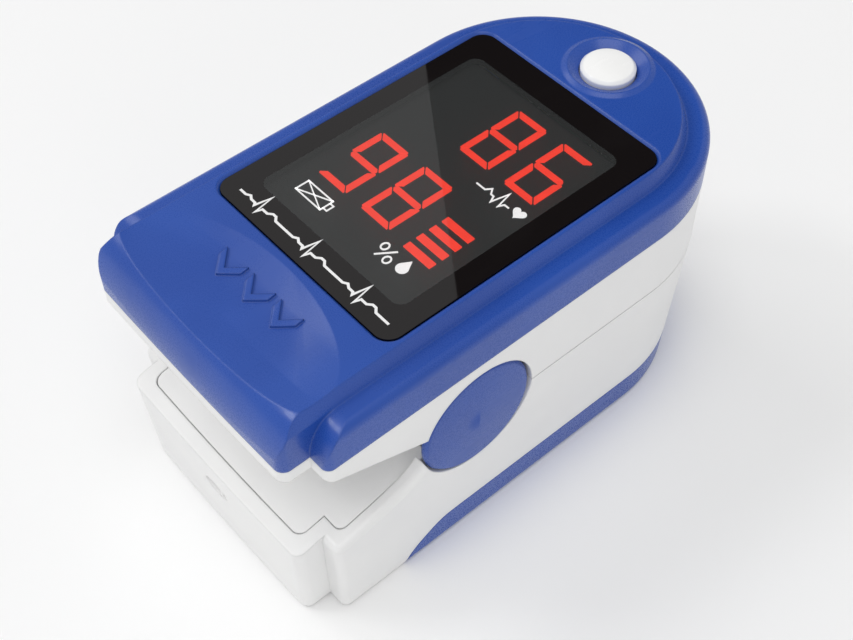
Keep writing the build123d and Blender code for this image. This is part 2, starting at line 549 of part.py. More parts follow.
# ================================================================ light sensor below, light source above
sx0, sx1 = -SENSOR_W / 2, SENSOR_W / 2
sy0, sy1 = SENSOR_Y - SENSOR_L / 2, SENSOR_Y + SENSOR_L / 2
sensor_board = box(sx0, sx1, sy0, sy1, DECK_TOP, DECK_TOP + 0.5)
photodiode = box(-1.5, 1.5, SENSOR_Y - 1.5, SENSOR_Y + 1.5, DECK_TOP + 0.5, DECK_TOP + 0.9)
sensor_lens = box(sx0, sx1, sy0, sy1, DECK_TOP + 0.5, DECK_TOP + 1.42)
sensor_lens = fillet(sensor_lens.edges().filter_by(Axis.Z), 0.8)
sensor_lens -= box(-1.7, 1.7, SENSOR_Y - 1.7, SENSOR_Y + 1.7, DECK_TOP, DECK_TOP + 1.0)

emitter_board = box(sx0, sx1, sy0, sy1, ROOF_Z - 0.5, ROOF_Z)
emitter_leds = box(-1.4, 1.4, SENSOR_Y - 0.7, SENSOR_Y + 0.7, ROOF_Z - 0.85, ROOF_Z - 0.5)
emitter_lens = box(sx0, sx1, sy0, sy1, ROOF_Z - 1.42, ROOF_Z - 0.5)
emitter_lens = fillet(emitter_lens.edges().filter_by(Axis.Z), 0.8)
emitter_lens -= box(-1.7, 1.7, SENSOR_Y - 1.7, SENSOR_Y + 1.7, ROOF_Z - 1.0, ROOF_Z)

# ribbon from the sensor board, round the back of the tunnel, up to the main board
RIB_W, RIB_T, BEND = 4.0, 0.2, 1.6
bend_y = CABLE_Y + RIB_T / 2 + BEND
ribbon = box(-RIB_W / 2, RIB_W / 2, bend_y, sy0, DECK_TOP + 0.1, DECK_TOP + 0.1 + RIB_T)
ribbon += box(-RIB_W / 2, RIB_W / 2, CABLE_Y - RIB_T / 2, CABLE_Y + RIB_T / 2,
              DECK_TOP + 0.1 + RIB_T + BEND, ROOF_Z + ROOF_T)
ring = Pos(0, bend_y, DECK_TOP + 0.1 + RIB_T + BEND) * Rot(0, 90, 0) * (
    Cylinder(BEND + RIB_T, RIB_W) - Cylinder(BEND, RIB_W + 1))
corner = box(-5, 5, bend_y - 5, bend_y, DECK_TOP, DECK_TOP + 0.1 + RIB_T + BEND)
ribbon += ring & corner
ribbon_cable = ribbon

# ================================================================ pivots and springs
def domed_cap(side):
    """Round cover over a pivot: a thin domed disc on a hub, with a blind hole for the pin."""
    thick = CAP_X[1] - CAP_X[0]
    body = domed_turning(thick - CAP_DISC_T, CAP_R, thick, 0.3, 0.22)
    body += post(0, 0, 0, thick - CAP_DISC_T, CAP_HUB_R)
    body -= post(0, 0, -0.5, 0.7, PIN_R)
    return Pos(side * CAP_X[0], HINGE_Y, HINGE_Z) * Rot(0, 90 * side, 0) * body


parts = {}
for side, tag in ((-1, "left"), (1, "right")):
    parts["pivot_cap_" + tag] = domed_cap(side)
    pin_x = LOWER_EAR_X[0] - 2.1
    pin = along_x(*span(side, pin_x, CAP_X[0] + 0.7), HINGE_Y, HINGE_Z, PIN_R)
    pin += along_x(*span(side, pin_x - 0.5, pin_x), HINGE_Y, HINGE_Z, PIN_R + 0.7)
    parts["pivot_pin_" + tag] = pin
    wire = 0.28
    xs = [side * (LOWER_EAR_X[0] - 1.75 + 0.54 * i) for i in range(3)]
    coil = None
    for x in xs:
        loop = Pos(x, HINGE_Y, HINGE_Z) * Rot(0, 90, 0) * Torus(PIN_R + 0.12 + wire, wire)
        coil = loop if coil is None else coil + loop
    reach = PIN_R + 0.12 + wire
    leg_up = Pos(xs[0], HINGE_Y + reach, (HINGE_Z + ROOF_Z) / 2 - 0.15) * Cylinder(wire, ROOF_Z - HINGE_Z - 0.3)
    leg_down = Pos(xs[2], HINGE_Y + reach, (HINGE_Z + DECK_TOP) / 2 + 0.15) * Cylinder(
        wire, HINGE_Z - DECK_TOP - 0.3)
    link = along_x(min(xs[0], xs[2]), max(xs[0], xs[2]), HINGE_Y - reach, HINGE_Z, wire * 0.9)
    parts["torsion_spring_" + tag] = coil + leg_up + leg_down + link

    cx = side * CELL_PITCH / 2
    cell = along_y(cx, CELL_Y0, CELL_Y0 + CELL_LENGTH - 0.9, CELL_Z, CELL_R)
    cell = fillet([e for e in cell.edges() if e.geom_type == GeomType.CIRCLE], 0.4)
    if side < 0:
        nub = along_y(cx, CELL_Y0 + CELL_LENGTH - 1.2, CELL_Y0 + CELL_LENGTH, CELL_Z, 1.9)
        cell = cell + nub
    else:
        cell = along_y(cx, CELL_Y0 + 0.9, CELL_Y0 + CELL_LENGTH, CELL_Z, CELL_R)
        cell = fillet([e for e in cell.edges() if e.geom_type == GeomType.CIRCLE], 0.4)
        cell = cell + along_y(cx, CELL_Y0, CELL_Y0 + 1.2, CELL_Z, 1.9)
    parts["cell_" + tag] = cell
    coils = None
    plate_y = CELL_Y0 - 2.2
    for i, r in enumerate((3.2, 2.5, 1.8)):
        ring_i = Pos(cx, plate_y + 0.35 + 0.25 + 0.42 * i, CELL_Z) * Rot(90, 0, 0) * Torus(r, 0.28)
        coils = ring_i if coils is None else coils + ring_i
    for i, r in enumerate((2.85, 2.15)):
        y_i = plate_y + 0.35 + 0.25 + 0.42 * i
        link = Pos(cx, y_i + 0.21, CELL_Z + r) * Rot(90 - 28, 0, 0) * Cylinder(0.22, 0.9)
        coils += link
    plate = box(cx - 4.2, cx + 4.2, plate_y, plate_y + 0.35, CELL_Z - 3.9, CELL_Z + 3.9)
    parts["contact_spring_" + tag] = plate + coils

bridge_y = CELL_Y0 + CELL_LENGTH
contact_bridge = box(-9.0, 9.0, bridge_y + 0.1, bridge_y + 0.5, CELL_Z - 3.2, CELL_Z + 3.2)

# ================================================================ screws
for i, (x, y) in enumerate(UPPER_SCREWS):
    seat = slope_z(y) + 0.95 if y < 0 else ROOF_Z + 0.25
    tip = 27.2
    tag = ("left" if x < 0 else "right") + ("_front" if y < 0 else "_back")
    parts["cover_screw_" + tag] = screw(x, y, seat - SCREW_HEAD_T + (0 if y < 0 else 0.45), tip, SCREW_R,
                                        SCREW_HEAD_R, SCREW_HEAD_T if y < 0 else 0.25)
for side, tag in ((-1, "left"), (1, "right")):
    x, y = side * LOWER_SCREW[0], LOWER_SCREW[1]
    parts["base_screw_" + tag] = screw(x, y, 0.35, frame_top(y) - 0.5, SCREW_R, SCREW_HEAD_R,
                                       SCREW_HEAD_T - 0.2)

parts.update(
    lower_shell=lower_shell, battery_cover=battery_cover, inner_frame=inner_frame, lower_pad=lower_pad,
    upper_pad=upper_pad, upper_shell=upper_shell, top_cover=top_cover, display_window=display_window,
    led_display=led_display, light_bars=light_bars, main_board=main_board, controller_chip=controller_chip,
    buzzer=buzzer, tact_switch=tact_switch, power_button=power_button, sensor_board=sensor_board,
    photodiode=photodiode, sensor_lens=sensor_lens, emitter_board=emitter_board, emitter_leds=emitter_leds,
    emitter_lens=emitter_lens, ribbon_cable=ribbon_cable, contact_bridge=contact_bridge,
    loop_bar=loop_bar_body,
)

for name, solid in parts.items():
    bodies = solid.solids()
    box_ = solid.bounding_box()
    print(f"{name:26s} solids {len(bodies)} volume {solid.volume:9.2f} "
          f"x {box_.min.X:6.2f} {box_.max.X:6.2f} y {box_.min.Y:6.2f} {box_.max.Y:6.2f} "
          f"z {box_.min.Z:6.2f} {box_.max.Z:6.2f}")
    export_step(bodies[0] if len(bodies) == 1 else Compound(bodies), f"parts/{name}.step")
print("written", len(parts))
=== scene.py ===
# %% [markdown]
# # A fingertip pulse oximeter
# A small clip for the end of a finger. Two white shells turn on a sprung hinge and hold the finger
# between grey silicone pads. A blue cover on top carries a window, a lit display and one button, and a
# blue door underneath slides off to reach two AAA cells.
#
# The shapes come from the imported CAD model, which is loaded as a fixed frame. This file adds what CAD
# leaves out: finishes, printed symbols, soft pads, wound springs and the light of a small studio.

import math

import bmesh
import bpy
from mathutils import Matrix, Vector


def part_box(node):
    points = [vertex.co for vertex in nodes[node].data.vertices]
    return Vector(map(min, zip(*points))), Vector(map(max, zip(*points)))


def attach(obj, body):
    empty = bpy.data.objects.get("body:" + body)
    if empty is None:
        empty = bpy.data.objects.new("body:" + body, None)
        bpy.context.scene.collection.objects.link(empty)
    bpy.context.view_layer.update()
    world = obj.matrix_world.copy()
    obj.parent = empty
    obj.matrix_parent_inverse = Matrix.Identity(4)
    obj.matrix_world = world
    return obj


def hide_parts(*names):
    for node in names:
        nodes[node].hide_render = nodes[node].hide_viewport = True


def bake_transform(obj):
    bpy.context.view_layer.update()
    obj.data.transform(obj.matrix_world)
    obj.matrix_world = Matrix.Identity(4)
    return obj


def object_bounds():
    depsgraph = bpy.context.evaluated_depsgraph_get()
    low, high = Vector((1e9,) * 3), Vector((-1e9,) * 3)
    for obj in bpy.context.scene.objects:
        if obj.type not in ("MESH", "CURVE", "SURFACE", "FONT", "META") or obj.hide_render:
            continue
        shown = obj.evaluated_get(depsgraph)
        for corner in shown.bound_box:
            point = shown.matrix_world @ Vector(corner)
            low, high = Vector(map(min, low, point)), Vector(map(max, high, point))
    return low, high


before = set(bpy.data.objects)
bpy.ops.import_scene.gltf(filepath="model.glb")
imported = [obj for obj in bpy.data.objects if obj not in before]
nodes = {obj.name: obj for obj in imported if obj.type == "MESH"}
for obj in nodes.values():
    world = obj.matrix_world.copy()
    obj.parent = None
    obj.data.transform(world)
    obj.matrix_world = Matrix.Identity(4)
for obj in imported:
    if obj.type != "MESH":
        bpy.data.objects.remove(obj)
cad_low, cad_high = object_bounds()
MM = 0.001
print("case in mm:", [round((b - a) / MM, 2) for a, b in zip(cad_low, cad_high)])

# %% [markdown]
# ## Places to measure from
# Every later piece is placed from the boxes of the CAD nodes, so a change of size in the CAD carries
# through. The three that are used often get short names here, and so does the hinge line.

# %% Named places
window_low, window_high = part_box("display_window")
bars_low, bars_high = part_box("light_bars")
cap_low, cap_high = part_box("pivot_cap_right")
hinge = Vector((0, (cap_low.y + cap_high.y) / 2, (cap_low.z + cap_high.z) / 2))
print("hinge line at y, z in mm:", round(hinge.y / MM, 2), round(hinge.z / MM, 2))

# %% [markdown]
# ## Writing shader sums as sums
# A Math node per operation is hard to read in code. A small class wraps one socket that carries a
# number. Its operators add Math nodes, in both orders, so that `1 - mask` works as written. Anything
# that isn't plain arithmetic goes through `Finish.node`, which takes a node type, its settings and what
# feeds its inputs.


# %% The number that flows between nodes
class Flow:
    """One output socket of a material's tree."""

    def __init__(self, finish, socket):
        self.finish, self.socket = finish, socket

    def sum_with(self, operation, *values):
        return self.finish.node("ShaderNodeMath", {"operation": operation}, dict(enumerate(values)))

    def __add__(self, other): return self.sum_with("ADD", self, other)
    def __radd__(self, other): return self.sum_with("ADD", other, self)
    def __sub__(self, other): return self.sum_with("SUBTRACT", self, other)
    def __rsub__(self, other): return self.sum_with("SUBTRACT", other, self)
    def __mul__(self, other): return self.sum_with("MULTIPLY", self, other)
    def __rmul__(self, other): return self.sum_with("MULTIPLY", other, self)
    def __truediv__(self, other): return self.sum_with("DIVIDE", self, other)
    def __rtruediv__(self, other): return self.sum_with("DIVIDE", other, self)
    def __gt__(self, other): return self.sum_with("GREATER_THAN", self, other)
    def __lt__(self, other): return self.sum_with("LESS_THAN", self, other)
    def __abs__(self): return self.sum_with("ABSOLUTE", self)
    def wave(self): return self.sum_with("SINE", self)
    def root(self): return self.sum_with("SQRT", self)
    def least(self, other): return self.sum_with("MINIMUM", self, other)
    def most(self, other): return self.sum_with("MAXIMUM", self, other)

    def spread(self, low, high, to_low=0.0, to_high=1.0):
        """Map low..high onto to_low..to_high with a soft start and end, held beyond both."""
        return self.finish.node("ShaderNodeMapRange", {"interpolation_type": "SMOOTHSTEP"}, {
            "Value": self, "From Min": low, "From Max": high, "To Min": to_low, "To Max": to_high})


class Finish:
    """One material being made, with a Principled shader and the ways of adding to its tree."""

    def __init__(self, name, **fixed):
        self.material = bpy.data.materials.new(name)
        self.material.use_nodes = True
        self.tree = self.material.node_tree
        self.tree.nodes.clear()
        self.output = self.tree.nodes.new("ShaderNodeOutputMaterial")
        self.shader = self.tree.nodes.new("ShaderNodeBsdfPrincipled")
        self.tree.links.new(self.shader.outputs[0], self.output.inputs[0])
        for socket, value in fixed.items():
            self.shader.inputs[socket.replace("_", " ")].default_value = value

    def node(self, kind, settings=None, feeds=None, out=0):
        made = self.tree.nodes.new(kind)
        for key, value in (settings or {}).items():
            if key == "stops":
                ramp = made.color_ramp.elements
                while len(ramp) < len(value):
                    ramp.new(0.5)
                for stop, (place, colour) in zip(ramp, value):
                    stop.position, stop.color = place, (*colour, 1.0)
            else:
                setattr(made, key, value)
        for key, value in (feeds or {}).items():
            self.feed(made.inputs[key], value)
        return Flow(self, made.outputs[out])

    def feed(self, socket, value):
        if isinstance(value, Flow):
            self.tree.links.new(value.socket, socket)
        elif isinstance(value, (tuple, list)) and len(value) == 3 and len(socket.default_value) == 4:
            socket.default_value = (*value, 1.0)
        else:
            socket.default_value = value

    def put(self, **feeds):
        for socket, value in feeds.items():
            self.feed(self.shader.inputs[socket.replace("_", " ")], value)
        return self

    def place(self):
        """The point's place in the row frame, in millimetres: x, y and z flows."""
        at = self.node("ShaderNodeTexCoord", out="Object")
        mm = self.node("ShaderNodeVectorMath", {"operation": "SCALE"}, {0: at, "Scale": 1 / MM})
        self.mm = mm
        split = self.node("ShaderNodeSeparateXYZ", feeds={0: mm}).socket.node
        return [Flow(self, split.outputs[i]) for i in range(3)]

    def grain(self, per_mm, detail=3.0, stretch=None, roughness=0.55):
        """Noise between 0 and 1, so many bumps to the millimetre."""
        where = self.mm
        if stretch:
            where = self.node("ShaderNodeVectorMath", {"operation": "MULTIPLY"}, {0: where, 1: stretch})
        return self.node("ShaderNodeTexNoise", feeds={
            "Vector": where, "Scale": per_mm, "Detail": detail, "Roughness": roughness})

    def mix(self, amount, first, second):
        made = self.node("ShaderNodeMix", {"data_type": "RGBA"}, {0: amount})
        mixer = made.socket.node
        self.feed(mixer.inputs[6], first)
        self.feed(mixer.inputs[7], second)
        return Flow(self, mixer.outputs[2])

    def bump(self, height, depth_mm, round_mm=0.0):
        """Raise the surface by height times depth_mm, over edges rounded by round_mm."""
        feeds = {"Strength": 1.0, "Distance": depth_mm * MM, "Height": height}
        if round_mm:
            feeds["Normal"] = self.node("ShaderNodeBevel", {"samples": 8}, {"Radius": round_mm * MM})
        return self.node("ShaderNodeBump", feeds=feeds)


def wear(finish, *names):
    """Give a finish to CAD nodes or pieces."""
    for each in names:
        thing = nodes[each] if isinstance(each, str) else each
        thing.data.materials.clear()
        thing.data.materials.append(finish.material)
        for face in getattr(thing.data, "polygons", []):
            face.material_index = 0


print("shader helpers ready")

# %% [markdown]
# ## Moulded plastic
# The blue and the white are the same process: glossy ABS from a polished tool with a fine satin skin.
# A flat colour looks like a drawing, so the finish has four things a moulding has. The colour drifts
# by a percent or two where the melt met. The gloss varies with a very fine grain and a few faint rub
# marks. The skin has a slight ripple that bends reflections. And no edge is quite sharp, which a Bevel
# node under the bump gives without a change to the mesh. One function makes both, so that they match
# where they meet.


# %% Blue and white mouldings
def moulding(name, light, dark, roughness, ripple=0.004, coat=0.05, edge_mm=0.25):
    skin = Finish(name, IOR=1.46, Coat_Roughness=0.12)
    x, y, z = skin.place()
    drift = skin.grain(0.09, 2.0)
    fine = skin.grain(9.0, 2.0)
    rub = skin.grain(0.5, 4.0, stretch=(1.0, 0.25, 1.0))
    marks = rub.spread(0.55, 0.75)
    skin.put(Base_Color=skin.mix(drift.spread(0.35, 0.65), dark, light),
             Roughness=roughness + 0.05 * fine + 0.06 * marks - 0.02,
             Coat_Weight=coat - 0.04 * marks,
             Normal=skin.bump(skin.grain(0.8, 2.0), ripple, edge_mm))
    return skin


blue = moulding("blue_moulding", (0.019, 0.077, 0.385), (0.016, 0.068, 0.355), 0.27)
white = moulding("white_moulding", (0.86, 0.86, 0.855), (0.83, 0.83, 0.83), 0.32)
button_white = moulding("button_moulding", (0.93, 0.93, 0.92), (0.90, 0.90, 0.90), 0.22, ripple=0.002)
wear(blue, "top_cover", "battery_cover", "pivot_cap_left", "pivot_cap_right")
wear(white, "upper_shell", "lower_shell", "inner_frame", "loop_bar")
wear(button_white, "power_button")
print("moulded finishes:", [skin.material.name for skin in (blue, white, button_white)])

# %% [markdown]
# ## The window
# One clear sheet, printed black on the back round its border. Where there is no print, the sheet is
# smoked but the display shows through. So the finish is two shaders: a black glossy one under the print,
# and a thin smoked glass elsewhere, with a mask of place as the Mix Shader's factor. The glass is a
# transparent shader with a little grey haze and a mirror coat by Fresnel, which needs no refraction in a
# sheet this thin. Haze and mirror are on the upper face only, because a ray that leaves through the lower
# face would otherwise count as wholly reflected.

# %% The window's print and glass
HAZE, POLISH = 0.42, 0.015
CLEAR_MARGIN, CLEAR_CORNER = 0.12, 1.1       # the clear part is this much larger than the film, mm
screen_mid = (bars_low + bars_high) / 2 / MM
screen_half = (bars_high - bars_low) / 2 / MM
window_finish = Finish("smoked_window", Roughness=0.07, IOR=1.49, Coat_Weight=0.0)
x, y, z = window_finish.place()
off_x = (abs(x - screen_mid.x) - (screen_half.x + CLEAR_MARGIN - CLEAR_CORNER)).most(0)
off_y = (abs(y - screen_mid.y) - (screen_half.y + CLEAR_MARGIN - CLEAR_CORNER)).most(0)
away = (off_x * off_x + off_y * off_y).root()
print_mask = away.spread(CLEAR_CORNER - 0.03, CLEAR_CORNER + 0.03)
smear = window_finish.grain(0.22, 3.0, stretch=(1.0, 0.4, 1.0)).spread(0.5, 0.8)
window_finish.put(Base_Color=window_finish.mix(smear, (0.0078, 0.0062, 0.0064), (0.0095, 0.0078, 0.0080)),
                  Roughness=POLISH + 0.03 * smear)
clear = window_finish.tree.nodes.new("ShaderNodeBsdfTransparent")
clear.inputs[0].default_value = (0.84, 0.84, 0.84, 1)
shine = window_finish.tree.nodes.new("ShaderNodeBsdfGlossy")
shine.inputs["Roughness"].default_value = POLISH
upper_face = z > (window_low.z + window_high.z) / 2 / MM
edge_shine = window_finish.node("ShaderNodeFresnel", feeds={"IOR": 1.49}) * upper_face


def shader_mix(finish, amount, first, second):
    joined = finish.tree.nodes.new("ShaderNodeMixShader")
    finish.feed(joined.inputs[0], amount)
    finish.tree.links.new(first, joined.inputs[1])
    finish.tree.links.new(second, joined.inputs[2])
    return joined.outputs[0]


veil = window_finish.tree.nodes.new("ShaderNodeBsdfDiffuse")
veil.inputs[0].default_value = (0.066, 0.069, 0.069, 1)
hazy = shader_mix(window_finish, upper_face * HAZE, clear.outputs[0], veil.outputs[0])
glass = shader_mix(window_finish, edge_shine, hazy, shine.outputs[0])
both = shader_mix(window_finish, print_mask, glass, window_finish.shader.outputs[0])
window_finish.tree.links.new(both, window_finish.output.inputs[0])
wear(window_finish, "display_window")
print("screen in the window, mm:", [round(2 * v, 1) for v in screen_half[:2]])

# %% [markdown]
# ## The lit display
# A display module is a grey block whose bars are pockets of tinted resin with a chip under each. Here
# the bars stand a hair above a grey film, so height tells them apart. The emission colour is the mask
# times red, with a slow drift in brightness as chips from one batch have.

# %% Grey film and red bars
BAR_RISE = 0.14                              # height above which a point is on a bar, not the film
film_top = bars_high.z / MM - BAR_RISE
lit = Finish("lit_bars", Roughness=0.45, Emission_Strength=1.0)
x, y, z = lit.place()
is_bar = z > film_top
glow = lit.grain(0.7, 1.0).spread(0.3, 0.7, 0.92, 1.0)
speck = lit.grain(7.0, 2.0)
film_grey = lit.mix(speck, (0.044, 0.046, 0.046), (0.049, 0.051, 0.051))
lit.put(Base_Color=lit.mix(is_bar, film_grey, (0.30, 0.02, 0.01)),
        Emission_Color=lit.mix(is_bar * glow, (0.0, 0.0, 0.0), (2.15, 0.085, 0.035)),
        Roughness=0.42 + 0.1 * speck)
wear(lit, "light_bars")
casing = Finish("display_casing", Roughness=0.6)
x, y, z = casing.place()
speck = casing.grain(6.0, 3.0)
casing.put(Base_Color=casing.mix(speck, (0.030, 0.031, 0.031), (0.05, 0.05, 0.05)),
           Roughness=0.5 + 0.2 * speck, Normal=casing.bump(speck, 0.01))
wear(casing, "led_display")
print("bars start above z mm:", round(film_top, 3))

# %% [markdown]
# ## Flat shapes cut from strips
# The symbols are thin prints. A print is a flat shape with a little thickness, so one function turns
# outlines into slabs and another turns a line of points into a strip of even width with mitred corners.


# %% Slabs and strips
def slab_mesh(name, shapes, z_low, thick, body, finish):
    """One object from flat polygons (lists of x, y in millimetres), each thick."""
    made = bmesh.new()
    for shape in shapes:
        low = [made.verts.new((px * MM, py * MM, z_low)) for px, py in shape]
        high = [made.verts.new((px * MM, py * MM, z_low + thick)) for px, py in shape]
        made.faces.new(list(reversed(low)))
        made.faces.new(high)
        for i in range(len(shape)):
            j = (i + 1) % len(shape)
            made.faces.new((low[i], low[j], high[j], high[i]))
    bmesh.ops.recalc_face_normals(made, faces=made.faces)
    return finished(name, made, body, finish)


def finished(name, made, body, finish, smooth=False):
    """Turn a bmesh into an object of the scene that rides on a body."""
    data = bpy.data.meshes.new(name)
    made.to_mesh(data)
    made.free()
    thing = bpy.data.objects.new(name, data)
    bpy.context.scene.collection.objects.link(thing)
    if smooth:
        data.polygons.foreach_set("use_smooth", [True] * len(data.polygons))
    wear(finish, thing)
    if body:
        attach(thing, body)
    return thing


def strip(points, width, closed=False):
    """Quads along a line of points, with the corners mitred."""
    pts = [Vector(p) for p in points]
    count = len(pts)
    sides = []
    for i, p in enumerate(pts):
        before = pts[(i - 1) % count] if closed or i else None
        after = pts[(i + 1) % count] if closed or i < count - 1 else None
        into = (p - before).normalized() if before is not None else (after - p).normalized()
        out = (after - p).normalized() if after is not None else into
        across = Vector((-(into + out).y, (into + out).x)).normalized()
        grow = 1 / max(0.35, across.dot(Vector((-into.y, into.x))))
        sides.append((p + across * width / 2 * grow, p - across * width / 2 * grow))
    runs = count if closed else count - 1
    return [[sides[i][0], sides[i][1], sides[(i + 1) % count][1], sides[(i + 1) % count][0]]
            for i in range(runs)]


def ring(cx, cy, rx, ry, width, count=28):
    loop = [(cx + rx * math.cos(a * math.tau / count), cy + ry * math.sin(a * math.tau / count))
            for a in range(count)]
    return strip(loop, width, closed=True)


print("strip of", len(ring(0, 0, 1, 1, 0.2)), "quads for a ring")

# %% [markdown]
# ## Printed symbols
# White ink on the display's film: a battery outline, a per cent sign with a drop for oxygen in the
# blood, and a pulse trace with a heart for the rate. The border carries one long pulse trace in the
# same ink. Ink is thin and matt, with slightly uneven cover; under the glass it also has a painted glow,
# so it reads bright.

# %% White ink, with a painted glow under the glass
ink = Finish("white_ink", Roughness=0.5)
x, y, z = ink.place()
cover = ink.grain(5.0, 3.0)
# painted glow: the ink under the glass is given emission so it reads bright through the smoked sheet
painted_glow_under_glass = z < window_low.z / MM
ink.put(Base_Color=ink.mix(cover, (0.80, 0.80, 0.80), (0.95, 0.95, 0.95)), Roughness=0.42 + 0.2 * cover,
        Emission_Color=ink.mix(painted_glow_under_glass, (0, 0, 0), (1.9, 1.9, 1.9)))
ink.shader.inputs["Emission Strength"].default_value = 1.0

battery = strip([(-7.6, -10.5), (-4.1, -10.5), (-4.1, -9.0), (-7.6, -9.0)], 0.13, closed=True)
battery += strip([(-4.1, -10.15), (-3.6, -10.15), (-3.6, -9.35), (-4.1, -9.35)], 0.13)
battery += strip([(-7.6, -10.5), (-4.1, -9.0)], 0.11) + strip([(-7.6, -9.0), (-4.1, -10.5)], 0.11)

percent = ring(3.0, -8.95, 0.34, 0.42, 0.15) + ring(4.3, -9.85, 0.34, 0.42, 0.15)
percent += strip([(3.05, -10.25), (4.25, -8.55)], 0.15)
drop = [(5.9, -8.35)]
for i in range(17):
    a = math.radians(-40 + 260 * i / 16)
    drop.append((5.9 - 0.6 * math.cos(a), -9.5 - 0.6 * math.sin(a)))
percent += [drop]

HEART_AT, HEART_SIZE = (7.75, 2.3), 0.045
heart = []
for i in range(40):
    t = math.tau * i / 40
    up = 13 * math.cos(t) - 5 * math.cos(2 * t) - 2 * math.cos(3 * t) - math.cos(4 * t)
    heart.append((HEART_AT[0] + HEART_SIZE * 16 * math.sin(t) ** 3, HEART_AT[1] + HEART_SIZE * up))
beat = strip([(2.5, 2.1), (3.6, 2.1), (4.0, 2.65), (4.4, 2.1), (4.75, 2.1), (5.05, 1.45), (5.5, 3.35),
              (5.9, 1.55), (6.15, 2.1), (6.7, 2.1)], 0.15)
film_z = bars_high.z - 0.00013               # a hair over the film, under the tops of the bars
symbols = slab_mesh("display_symbols", battery + percent + [heart] + beat, film_z, 0.00006,
                    "upper_half", ink)

trace_y = (window_low.y + bars_low.y) / 2 / MM
# one beat as (when, height in mm): a small wave, a dip, the spike, a dip, a broad wave
BEAT = ((0.12, 0.0), (0.18, 0.25), (0.24, 0.0), (0.32, 0.0), (0.35, -0.25), (0.40, 1.45), (0.45, -0.65),
        (0.48, 0.0), (0.58, 0.0), (0.64, 0.35), (0.70, 0.35), (0.76, 0.0))
TRACE_START, BEAT_LENGTH = -10.0, 6.8
trace = [(TRACE_START, 0.0)]
trace += [(TRACE_START + BEAT_LENGTH * (k + when), high) for k in range(3) for when, high in BEAT]
trace.append((-TRACE_START + 0.4, 0.0))
border_trace = slab_mesh("border_trace", strip([(px, trace_y - 0.15 + py) for px, py in trace], 0.24),
                         window_high.z, 0.00002, "upper_half", ink)
print("ink shapes:", len(battery + percent + [heart] + beat))

# %% [markdown]
# ## Silicone pads
# The pads are cast silicone: no sharp edge anywhere, a matt skin with a faint bloom, and shallow ribs
# across the tunnel that grip the finger. A CAD block is too crisp for that. Each pad starts as a copy of
# its block, is remeshed into even cells so that smoothing can round every edge, and then its tunnel wall
# is pushed out into ribs.

# %% Silicone finish
silicone = Finish("grey_silicone", IOR=1.42, Sheen_Weight=0.15, Subsurface_Weight=0.05)
silicone.shader.inputs["Subsurface Radius"].default_value = (0.001, 0.001, 0.001)
x, y, z = silicone.place()
bloom = silicone.grain(0.35, 4.0)
pores = silicone.grain(6.0, 3.0)
silicone.put(Base_Color=silicone.mix(bloom, (0.235, 0.245, 0.26), (0.30, 0.31, 0.32)),
             Roughness=0.58 + 0.12 * pores, Normal=silicone.bump(pores, 0.012))


# %% [markdown]
# ## From block to pad
# Blender's Remesh modifier rebuilds a block in even cells and Smooth rounds its edges. The result is
# baked to a mesh, and each point of the tunnel wall then moves out along its normal by a wave of y.
# Ribs stop short of the sensor's window and of the pad's rim, as the mould's do.

# %% Pads from their blocks
CELL, SOFTENING = 0.33, 5                    # remesh cell in mm, smoothing passes
RIB_PITCH, RIB_RISE = 2.25, 0.22             # mm
RIB_HALF_WIDTH, RIM_DEPTH, MOUTH_CLEAR, TIP_CLEAR = 8.4, 0.9, 1.6, 3.5
SENSOR_HALF_WIDTH, SENSOR_FROM, SENSOR_TO = 4.2, 3.6, 14.4


def rib_height(v, low, high, inward):
    """How far a point of the pad moves out along its normal, in metres."""
    middle = high.z if inward > 0 else low.z
    side, along = abs(v.co.x) / MM, v.co.y / MM
    if v.normal.z * inward < 0.25 or side > RIB_HALF_WIDTH:
        return 0.0
    if (middle - v.co.z) * inward / MM < RIM_DEPTH or along > high.y / MM - MOUTH_CLEAR:
        return 0.0
    if side < SENSOR_HALF_WIDTH and SENSOR_FROM < along < SENSOR_TO or along < low.y / MM + TIP_CLEAR:
        return 0.0
    return max(0.0, math.sin(along / RIB_PITCH * math.tau)) ** 1.5 * RIB_RISE * MM


def pad_from(node, inward, body):
    """A rounded, ribbed pad that stands for a CAD block. inward is +1 if the tunnel is above it."""
    data = nodes[node].data.copy()
    data.name = node + "_soft"
    pad = bpy.data.objects.new(node + "_soft", data)
    bpy.context.scene.collection.objects.link(pad)
    remesh = pad.modifiers.new("cells", "REMESH")
    remesh.mode, remesh.voxel_size, remesh.adaptivity = "VOXEL", CELL * MM, 0.0
    relax = pad.modifiers.new("relax", "SMOOTH")
    relax.factor, relax.iterations = 0.5, SOFTENING
    bpy.context.view_layer.update()
    shape = bpy.data.meshes.new_from_object(pad.evaluated_get(bpy.context.evaluated_depsgraph_get()))
    pad.modifiers.clear()
    pad.data = shape
    low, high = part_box(node)
    for v in shape.vertices:
        v.co += v.normal * rib_height(v, low, high, inward)
    shape.polygons.foreach_set("use_smooth", [True] * len(shape.polygons))
    wear(silicone, pad)
    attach(pad, body)
    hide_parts(node)
    print(pad.name, "has", len(shape.vertices), "points")
    return pad


lower_soft = pad_from("lower_pad", 1, "lower_half")
upper_soft = pad_from("upper_pad", -1, "upper_half")

# %% [markdown]
# ## Metals
# Screws and pins are zinc or nickel plated. Turned metal has fine rings round its axis, wire has lines
# along it, and plating has a little cloudiness. One function makes all three from colours and a grain.


# %% Plated metal
def metal(name, colour, dull, roughness, grain_scale, stretch):
    plate = Finish(name, Metallic=1.0)
    plate.place()
    lines = plate.grain(grain_scale, 3.0, stretch=stretch)
    cloud = plate.grain(0.6, 3.0)
    plate.put(Base_Color=plate.mix(cloud, dull, colour), Roughness=roughness + 0.14 * cloud,
              Normal=plate.bump(lines, 0.004))
    return plate


